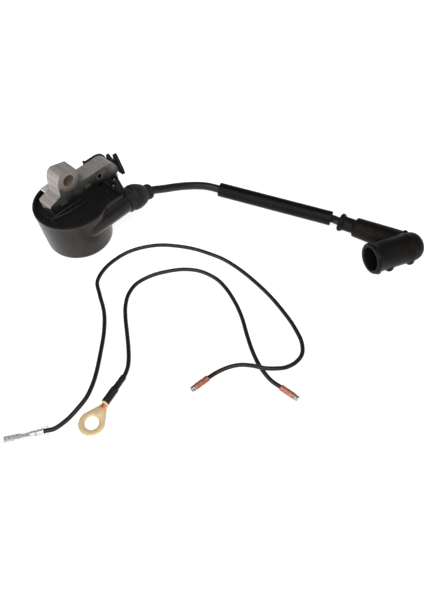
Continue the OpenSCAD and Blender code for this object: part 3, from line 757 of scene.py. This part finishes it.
def make_housing():
    """Round cup, the ledge that carries the terminals, and the lead tower laid across them."""
    ledge_low, ledge_depth, floor_z = 14.4, 15, 16
    foot_r, foot_curve = 16.4, 3.5
    quarter = [math.radians(a) for a in range(-90, 1, 10)]
    foot = [(foot_r + foot_curve * math.cos(a), foot_curve + foot_curve * math.sin(a)) for a in quarter]
    wall = CUP_R - CUP_WALL
    cup = turned("cup_wall", [(0, 0)] + foot + [
        (20.3, 9.5), (20.8, 17), (21.2, 24), (21.4, 27.8), (21.52, 28.05), (CUP_R, 28.25), (CUP_R, 29.0),
        (21.5, 29.27), (21.25, CUP_TOP), (wall + 0.35, CUP_TOP), (wall + 0.1, 29.3), (wall, 29.05),
        (wall, 27.4), (wall - 1.6, 4.4), (foot_r, 2.2), (0, 2.2),
    ], steps=144)
    room = [(-2, -17.2), (23.2, -17.2), (23.2, 11.6), (12, 14.8), (-2, 14.8)]
    cut(cup, settle(plate("room_cutter", room, [], ledge_depth), (0, 0, floor_z)))
    outline = [(0, -18.3), (24.4, -18.3), (27.6, -15.4), (32.8, -2), (36, 0.5), (37.2, 3), (37.2, 9),
               (35.6, 11.6), (27, 13), (12, 16.6), (0, 16.6)]
    ledge = settle(plate("terminal_ledge", outline, [], ledge_depth, corner=0.9), (0, 0, ledge_low))
    cutters = [settle(plate("room_cutter", room, [], ledge_depth), (0, 0, floor_z))]
    for name, radius, low, high, at, el, steps in (
        ("cup_cutter", wall + 0.5, 10, 31, (0, 0, 0), 90, 96),
        ("recess_cutter", 8.05, 0, 20, (TOWER_END, TOWER_Y, TOWER_Z), 0, 64),
        ("bore_cutter", TOWER_BORE, 0, 20, (12, TOWER_Y, TOWER_Z), 0, 64),
    ):
        cutters.append(turned(name, [(0, low), (radius, low), (radius, high), (0, high)], at, 0, el, steps))
    for x, y in (KILL_POST_XY, GROUND_POST_XY):
        well = [(0, 26.6), (1.8, 26.6), (1.8, 31), (0, 31)]
        cutters.append(turned("well_cutter", well, (x, y, 0), steps=40))
        cutters.append(block("tail_cutter", (20.4, y - 0.53, 25.17), (x, y + 0.53, 26.03), 0.02))
    rounded(cut(ledge, *cutters), 0.22, angle=50, segments=3)
    tower = turned("lead_tower", [
        (0, -5.2), (2.6, -5.1), (4.2, -4.7), (5.3, -3.9), (6.1, -2.8), (6.55, -1.4), (6.7, 0.3),
        (6.7, 25.6), (6.6, 25.82), (6.35, TOWER_END), (TOWER_BORE, TOWER_END), (TOWER_BORE, 22.4),
        (2.65, 22.4), (2.65, 11.5), (0, 11.5),
    ], (0, TOWER_Y, TOWER_Z), 0, 0, steps=96)
    shell = joined("coil_housing", [smooth(part, 32) for part in (cup, ledge, tower)])
    apply_modifier(shell, "WEIGHTED_NORMAL", keep_sharp=True, weight=60)
    return keep(shell, "coil", ["housing_cup"], housing_plastic)


def make_core():
    """Twenty sheets cut to one outline and stacked, with the edges of each sheet just broken."""
    outline = [
        (-13, 26.2), (-13, 30), (-13.5, 34.4), (-13.1, 35.3), (-5.9, 38), (-5.4, 38.7),
        (-5.35, 41), (-5.25, 43.2), (-4.95, 45.1), (-4.4, 47), (-3.6, 48.5), (-2.7, 49.6), (-1.7, 50.2),
        (-0.4, 50.4), (8, 48.4), (8.7, 47.9), (9.4, 45.6), (10.4, 41), (11.3, 38.9), (28, 38.9),
        (29.4, 38.8), (30.8, 38.4), (32, 37.7), (33.1, 36.7), (34, 35.5), (34.6, 34.2), (35.05, 32.7),
        (35.3, 31), (35.3, 29.45), (19, 29.45), (19, 26.2), (6, 26.2), (6, 5), (-4, 5), (-4, 26.2),
    ]
    holes = [(HOLE_XZ[0], HOLE_XZ[1], HOLE_R, 40), (SMALL_XZ[0], SMALL_XZ[1], SMALL_R, 28)]
    stack = plate("core_sheet_stack", outline, holes, SHEET, corner=0.12)
    rounded(stack, 0.03, angle=60, segments=1)
    settle(stack, (0, CORE_FRONT + 0.505, 0), (90, 0, 0))
    apply_modifier(stack, "ARRAY", count=SHEETS, use_relative_offset=False, use_constant_offset=True,
                   constant_offset_displace=(0, SHEET_STEP * MM, 0))
    return keep(smooth(stack, 25), "coil", ["core_laminations"], core_steel)


def make_interlocks():
    """Pressed marks that lock the sheets together: shallow trays with a raised lip."""
    marks = []
    core_back = CORE_FRONT + CORE_T
    for number, (x, z) in enumerate([(-4.7, 32.4), (12.7, 33.6)]):
        for side, outward, y0, y1 in (("front", -1, CORE_FRONT - 0.12, CORE_FRONT + 0.3),
                                      ("back", 1, core_back - 0.3, core_back)):
            mark = block(f"interlock_{number}_{side}", (x - 1.9, y0, z - 0.7), (x + 1.9, y1, z + 0.7), 0.12)
            edit(mark, "FACE")
            bpy.ops.mesh.select_all(action="DESELECT")
            done()
            for face in mark.data.polygons:
                face.select = face.normal.y * outward > 0.95
            only(mark)
            bpy.ops.object.mode_set(mode="EDIT")
            bpy.ops.mesh.inset(thickness=0.22 * MM, depth=-0.14 * MM)
            done()
            marks.append(mark)
    piece = joined("core_interlock_marks", marks)
    return keep(smooth(piece, 30), "coil", ["core_pins"], varnished_mark)


def make_meniscus():
    """Resin that has crept up round the foot of the core, and the low ridge in front of it."""
    nothing_selected()
    bpy.ops.mesh.primitive_plane_add(size=MM, location=(3.0 * MM, 3.5 * MM, (RESIN_TOP - 0.04) * MM))
    piece = named("resin_creep")
    piece.scale = (34.2, 12.0, 1)
    leave_in_mesh()
    edit(piece, "FACE")
    for step, rise in ((0.4, 0.05), (0.3, 0.1), (0.2, 0.16)):
        bpy.ops.mesh.inset(thickness=step * MM, depth=rise * MM)
    bpy.ops.mesh.select_all(action="DESELECT")
    done()
    apply_modifier(piece, "BEVEL", width=0.8 * MM, segments=4, affect="VERTICES")
    keep(smooth(piece, 60), "coil", [], resin)
    # The winding flange shows through the resin as a low curved ridge in front of the core
    nothing_selected()
    bpy.ops.mesh.primitive_torus_add(
        major_radius=53.7 * MM, minor_radius=0.46 * MM, major_segments=240, minor_segments=12,
        location=(3.0 * MM, 48.4 * MM, RESIN_TOP * MM),
    )
    ridge = named("flange_ridge")
    leave_in_mesh()
    edit(ridge)
    bpy.ops.mesh.bisect(plane_co=(0, -2.2 * MM, 0), plane_no=(0, 1, 0), clear_outer=True, use_fill=True)
    done()
    return keep(smooth(ridge, 50), "coil", [], resin)


def make_small_coil_parts():
    for name, node, width, segments, slot, material in (
        ("earth_tab", "ground_tab", 0.25, 3, "core_steel", tinned),
        ("rear_strip", "rear_cover", 0.2, 2, "black_plastic", trim_plastic),
        ("wire_clip_finger", "wire_clip", 0.3, 3, "black_plastic", trim_plastic),
    ):
        keep(smooth(from_node(name, node, width, segments), 30), "coil", [node], material)
    for name, node, (x, y) in (("kill_post", "kill_pin", KILL_POST_XY),
                               ("ground_post", "ground_pin", GROUND_POST_XY)):
        stem = turned(name, [(0, 25.25), (0.9, 25.25), (0.9, 28.3), (0.84, 28.6), (0.62, 28.95),
                             (0.38, 29.15), (0, 29.2)], (x, y, 0), steps=32)
        tail = block(name + "_tail", (20.5, y - 0.5, 25.2), (x, y + 0.5, 26.0), 0.08)
        post = smooth(joined(name, [stem, tail]), 40)
        keep(post, "coil", [node], varnished_mark)


def make_collar():
    """Hard ring with a groove round it, between the tower and the grommet."""
    collar = turned("tower_collar_ring", [
        (TOWER_BORE, 0), (7.1, 0), (7.5, 0.12), (7.7, 0.4), (7.7, 0.75), (7.45, 0.9), (7.45, 1.05),
        (7.7, 1.2), (7.7, 1.55), (7.5, 1.82), (7.1, 1.94), (TOWER_BORE, 1.94), (TOWER_BORE, 0),
    ], (TOWER_END + 0.03, TOWER_Y, TOWER_Z), 0, 0)
    return keep(smooth(collar, 35), "coil", ["tower_collar"], trim_plastic)


def make_grommet():
    """Rubber grommet: a bulge that leans down from the collar, with a ring at its neck."""
    foot = turned("grommet_foot", [
        (2.6, -3.3), (4.7, -3.3), (4.95, -3.0), (4.95, 0.1), (6.9, 0.1), (7.2, 0.4), (7.1, 1.2), (6.4, 3.2),
        (2.6, 3.2), (2.6, -3.3),
    ], GROMMET_AT, 0, 0)
    bulge = turned("grommet_bulge", [
        (2.62, 1.9), (6.4, 1.9), (7.0, 2.1), (7.45, 2.7), (7.7, 3.7), (7.78, 5.0), (7.7, 6.3), (7.45, 7.7),
        (7.05, 9.1), (6.55, 10.5), (6.0, 11.8), (5.3, 12.9), (4.65, 13.75), (4.2, 14.4), (4.08, 14.8),
        (4.2, 15.1),
        (4.55, 15.3), (4.7, 15.6), (4.74, 16.4), (4.68, 17.2), (4.5, 17.65), (4.15, 17.92), (3.7, 18.0),
        (2.9, 18.0), (2.66, 17.7), (2.62, 1.9),
    ], GROMMET_AT, GROMMET_AZ, GROMMET_EL)
    piece = joined("lead_grommet_bulge", [foot, bulge])
    return keep(smooth(piece, 40), "coil", ["lead_grommet"], grommet_rubber)


make_housing()
make_core()
make_interlocks()
make_meniscus()
make_small_coil_parts()
make_collar()
make_grommet()


# ---- Sleeve and plug boot ----

def make_sleeve():
    """Cut tube, very slightly swollen and pinched along its length."""
    outer = [(4.36, 0.0), (4.5, 0.12)]
    for step in range(1, 24):
        along = 0.12 + (SLEEVE_LEN - 0.24) * step / 24
        outer.append((4.47 + 0.03 * math.sin(step * 1.7) * math.cos(step * 0.6), along))
    outer += [(4.5, SLEEVE_LEN - 0.12), (4.36, SLEEVE_LEN)]
    inner = [(3.5, SLEEVE_LEN), (3.4, SLEEVE_LEN - 0.15), (3.4, 0.15), (3.5, 0.0), (4.36, 0.0)]
    sleeve = turned("guard_sleeve", outer + inner, SLEEVE_AT, SLEEVE_AZ, 0)
    return keep(smooth(sleeve, 45), "sleeve", ["protective_sleeve"], sleeve_plastic)


def make_boot():
    """Elbow boot: arm, head and nubs are blended into one rubber skin, then both bores are cut."""
    head = turned("boot_head_solid", [
        (0, 0.0), (8.3, 0.0), (8.9, 0.25), (9.25, 0.8), (9.35, 1.6), (9.1, 2.6), (8.8, 3.6), (8.75, 6.0),
        (8.75, 22.0), (8.95, 23.2), (9.0, 24.6), (8.7, 25.4), (8.6, 27.4), (8.1, 29.4), (7.1, 31.0),
        (5.6, 32.2), (3.6, 32.9), (0, 33.1),
    ], HEAD_AT, HEAD_AZ, 0, steps=72)
    arm = turned("boot_arm_solid", [
        (0, 0), (4.7, 0), (5.3, 0.3), (5.65, 0.95), (5.65, 1.9), (5.3, 2.6), (4.7, 3.0), (4.35, 3.4),
        (4.3, 9.5), (4.5, 9.7), (5.6, 9.85), (5.95, 10.2), (6.1, 14), (6.4, 22), (6.75, 30), (6.95, 36),
        (6.4, 40), (5, 42.4), (0, 43.4),
    ], ARM_AT, ARM_AZ, ARM_EL, steps=64)
    parts = [head, arm]
    # Three grip nubs along the lower side and one on top: place along the head, radius, and how far out
    outward = (0.389, 0.747, 0.54)
    for along, size, out in ((2.6, 1.7, -8.3), (10.1, 2.7, -7.7), (24.0, 2.7, -7.7), (26.4, 1.8, 8.5)):
        middle = ahead(HEAD_AT, HEAD_AZ, 0, along)
        spot = [(value + way * out) * MM for value, way in zip(middle, outward)]
        nothing_selected()
        bpy.ops.mesh.primitive_uv_sphere_add(segments=24, ring_count=12, radius=size * MM, location=spot)
        leave_in_mesh()
        parts.append(named("boot_nub"))
    boot = joined("elbow_boot", parts)
    apply_modifier(boot, "REMESH", mode="VOXEL", voxel_size=0.38 * MM)
    apply_modifier(boot, "SMOOTH", factor=0.5, iterations=5)
    bore = turned("boot_bore_cutter", [
        (0, -2.0), (7.3, -2.0), (7.2, 0.0), (6.95, 0.4), (6.8, 0.9), (6.78, 9.0), (6.3, 9.5),
        (6.3, 10.5), (6.78, 11.0), (6.78, 18.7), (6.1, 19.4), (6.1, 26.2), (4.5, 27.6), (0, 27.6),
    ], HEAD_AT, HEAD_AZ, 0, steps=72)
    lead_hole = turned("boot_lead_cutter", [
        (0, -2), (3.1, -2), (2.95, 0.1), (2.62, 0.7), (2.62, 30), (0, 30),
    ], ARM_AT, ARM_AZ, ARM_EL, steps=48)
    cut(boot, bore, lead_hole)
    return keep(smooth(boot, 38), "boot", ["plug_boot"], boot_rubber)


make_sleeve()
elbow = make_boot()


# ---- Wire ends ----

def make_socket(prefix, at, az, node):
    """Hollow pin socket with a copper sleeve crimped over the wire."""
    tip = turned(prefix + "_socket_tip", [
        (0.98, 6.0), (0.98, 10.1), (1.08, 10.34), (1.3, 10.42), (1.5, 10.32), (1.58, 10.05), (1.56, 9.75),
        (1.42, 9.55), (1.42, 9.35), (1.56, 9.2), (1.6, 8.9), (1.55, 8.5), (1.36, 8.3), (1.34, 5.2),
        (0.3, 5.2), (0.3, 6.0), (0.98, 6.0),
    ], at, az, 0, steps=40)
    keep(smooth(tip, 35), "coil", [node], socket_metal)
    cover = turned(prefix + "_crimp_sleeve", [
        (1.19, 0.05), (1.5, 0.05), (1.62, 0.2), (1.65, 0.45), (1.64, 1.8), (1.6, 2.2), (1.6, 2.5),
        (1.64, 2.9), (1.65, 4.6), (1.62, 5.2), (1.65, 5.8), (1.65, 7.4), (1.6, 7.9), (1.5, 8.08),
        (1.4, 8.05), (1.39, 5.1), (1.19, 5.0), (1.19, 0.05),
    ], at, az, 0, steps=40)
    keep(smooth(cover, 35), "coil", [node + "_sleeve"], copper_tube)
    return tip, cover


def make_blade():
    blade = from_node("stop_wire_blade", "kill_blade", 0.09, segments=2)
    return keep(smooth(blade, 35), "coil", ["kill_blade"], tinned)


def make_clear_tube():
    tube = turned("clear_cover_tube", [
        (1.68, 0.1), (1.75, 0), (1.97, 0), (2.05, 0.12), (2.05, 7), (2.03, 14), (2.05, 21.15), (1.97, 21.3),
        (1.75, 21.3), (1.68, 21.15), (1.68, 0.1),
    ], BLADE_AT, BLADE_AZ, 0, steps=48)
    return keep(smooth(tube, 40), "clear_tube", ["clear_sleeve"], clear_vinyl)


def make_ring():
    """Stamped eye with a rolled barrel; the rim is slightly broken."""
    eye_r = 6.6
    rim = [math.radians(74 + 212 * step / 40) for step in range(41)]
    neck = [(11.3, 1.6), (9.9, 2.0), (8.6, 2.6), (6.6, 3.7), (4.2, 5.1)]
    outline = [(eye_r * math.cos(turn), eye_r * math.sin(turn)) for turn in rim]
    outline += [(x, -y) for x, y in reversed(neck)] + neck
    eye = plate("eye_plate", outline, [(0, 0, 3.4, 48)], 0.8)
    rounded(eye, 0.13, angle=40, segments=2)
    settle(eye, RING_AT, (0, 0, RING_AZ))
    barrel = turned("eye_barrel", [
        (1.06, 10.7), (1.4, 10.62), (1.6, 10.8), (1.6, 16.7), (1.5, 16.9), (1.06, 16.95), (1.06, 10.7),
    ], BARREL_AT, RING_AZ, 0, steps=36)
    piece = joined("ring_eye_terminal", [eye, barrel])
    return keep(smooth(piece, 32), "coil", ["ring_terminal"], brass)


def make_strands():
    """Seven copper strands, twisted together, that show at the mouth of the crimp."""
    strands = []
    strand_r, lengths, advance, twist = 0.3, 14, 0.62, 22
    sixths = [math.radians(60 * k) for k in range(6)]
    places = [(0, 0)] + [(2 * strand_r * math.cos(a), 2 * strand_r * math.sin(a)) for a in sixths]
    for number, (x, y) in enumerate(places):
        nothing_selected()
        bpy.ops.mesh.primitive_circle_add(vertices=10, radius=strand_r * MM, fill_type="NGON",
                                          location=(x * MM, y * MM, 8.6 * MM))
        strand = named(f"strand_{number}")
        leave_in_mesh()
        edit(strand, "FACE")
        for _ in range(lengths):
            bpy.ops.mesh.extrude_region_move(TRANSFORM_OT_translate={"value": (0, 0, advance * MM)})
            bpy.ops.transform.rotate(value=math.radians(twist), orient_axis="Z", center_override=(0, 0, 0))
        done()
        tidy_mesh(strand)
        strands.append(strand)
    piece = joined("copper_strands", strands)
    settle(piece, BARREL_AT, (0, 90, RING_AZ))
    return keep(smooth(piece, 40), "coil", ["ring_strands"], bare_copper)


def make_shrink():
    """Two-step shrink tube with soft waves where it has drawn in."""
    shrink = turned("shrink_cover", [
        (1.98, 11.4), (2.06, 11.42), (2.1, 11.6), (2.08, 12.6), (2.1, 13.8), (2.05, 15.0), (2.1, 16.6),
        (2.08, 18.2), (2.1, 19.2), (2.0, 19.7), (1.82, 20.1), (1.68, 20.6), (1.62, 21.5), (1.65, 22.8),
        (1.58, 24.2), (1.62, 25.6), (1.6, 27.1), (1.5, 27.4), (1.2, 27.4), (1.2, 18.4), (1.95, 18.4),
        (1.95, 11.5), (1.98, 11.4),
    ], (RING_AT[0], RING_AT[1], 2.12), RING_AZ, 0, steps=48)
    return keep(smooth(shrink, 40), "coil", ["ring_heat_shrink"], shrink_tube)


kill_tip, kill_cover = make_socket("stop_wire", KILL_SOCKET_AT, KILL_SOCKET_AZ, "kill_socket")
ground_tip, ground_cover = make_socket("earth_wire", GROUND_SOCKET_AT, GROUND_SOCKET_AZ, "ground_socket")
blade = make_blade()
clear_tube = make_clear_tube()
eye = make_ring()
strands = make_strands()
shrink = make_shrink()


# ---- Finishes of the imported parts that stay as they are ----

def refinish(node, material):
    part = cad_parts[node]
    part.data.materials.clear()
    part.data.materials.append(material)


for node, material in (
    ("potting_fill", resin), ("primary_bobbin", bobbin_plastic), ("secondary_bobbin", bobbin_plastic),
    ("primary_winding", wound_copper), ("secondary_winding", wound_copper), ("control_board", board_green),
    ("storage_capacitor", dipped_part), ("gate_resistor", dipped_part), ("board_diodes", trim_plastic),
    ("switching_thyristor", trim_plastic), ("ht_contact_pin", brass), ("ht_link", bare_copper),
    ("plug_spring", tinned),
):
    refinish(node, material)


# ---- Bench, lights and surroundings ----

def make_bench():
    nothing_selected()
    bpy.ops.mesh.primitive_plane_add(size=3.0, location=(0, 0, -0.00002))
    bench = named("bench_top")
    material, tree, shader, place = blank("pale_bench")
    paper = use(tree, GRAIN, {"Tone": (0.6, 0.6, 0.6, 1), "Worn Tone": (0.63, 0.63, 0.63, 1),
                              "Cloud Scale": 6.0, "Grain Scale": 800.0, "Dull": 0.9, "Bright": 0.85},
                Place=place)
    feed(tree, shader, Base_Color=paper.outputs["Colour"], Roughness=paper.outputs["Roughness"])
    shader.inputs["Specular IOR Level"].default_value = 0.1
    shader.inputs["Emission Color"].default_value = (1, 1, 1, 1)
    shader.inputs["Emission Strength"].default_value = 0.8
    bench.data.materials.append(material)


def soft_box(name, at, aim, size, watts):
    light = bpy.data.lights.new(name, "AREA")
    light.shape = "RECTANGLE"
    light.size, light.size_y = size
    light.energy = watts
    box = bpy.data.objects.new(name, light)
    way = Vector(aim) - Vector(at)
    box.matrix_world = Matrix.Translation(at) @ way.to_track_quat("-Z", "Y").to_matrix().to_4x4()
    bpy.context.scene.collection.objects.link(box)


def make_lights():
    soft_box("overhead_soft_box", (-0.3, -0.45, 0.85), (0.0, -0.08, 0.0), (1.3, 1.1), 10)
    soft_box("left_soft_box", (-0.8, 0.1, 0.35), (0.0, -0.05, 0.02), (0.6, 0.4), 3)
    world = bpy.data.worlds.new("studio_white")
    world.use_nodes = True
    tree = world.node_tree
    sky = tree.nodes["Background"]
    way = tree.nodes.new("ShaderNodeTexCoord").outputs["Generated"]
    high = add(tree, "ShaderNodeSeparateXYZ", Vector=way)
    fade = span(tree, high.outputs["Z"], 0.0, 0.6)
    feed(tree, sky, Color=mixed(tree, fade, grey(0.85), grey(0.1)))
    sky.inputs["Strength"].default_value = 0.8
    bpy.context.scene.world = world
    bpy.context.scene.view_settings.view_transform = "Standard"
    bpy.context.scene.view_settings.look = "None"


make_bench()
make_lights()

bpy.context.view_layer.update()
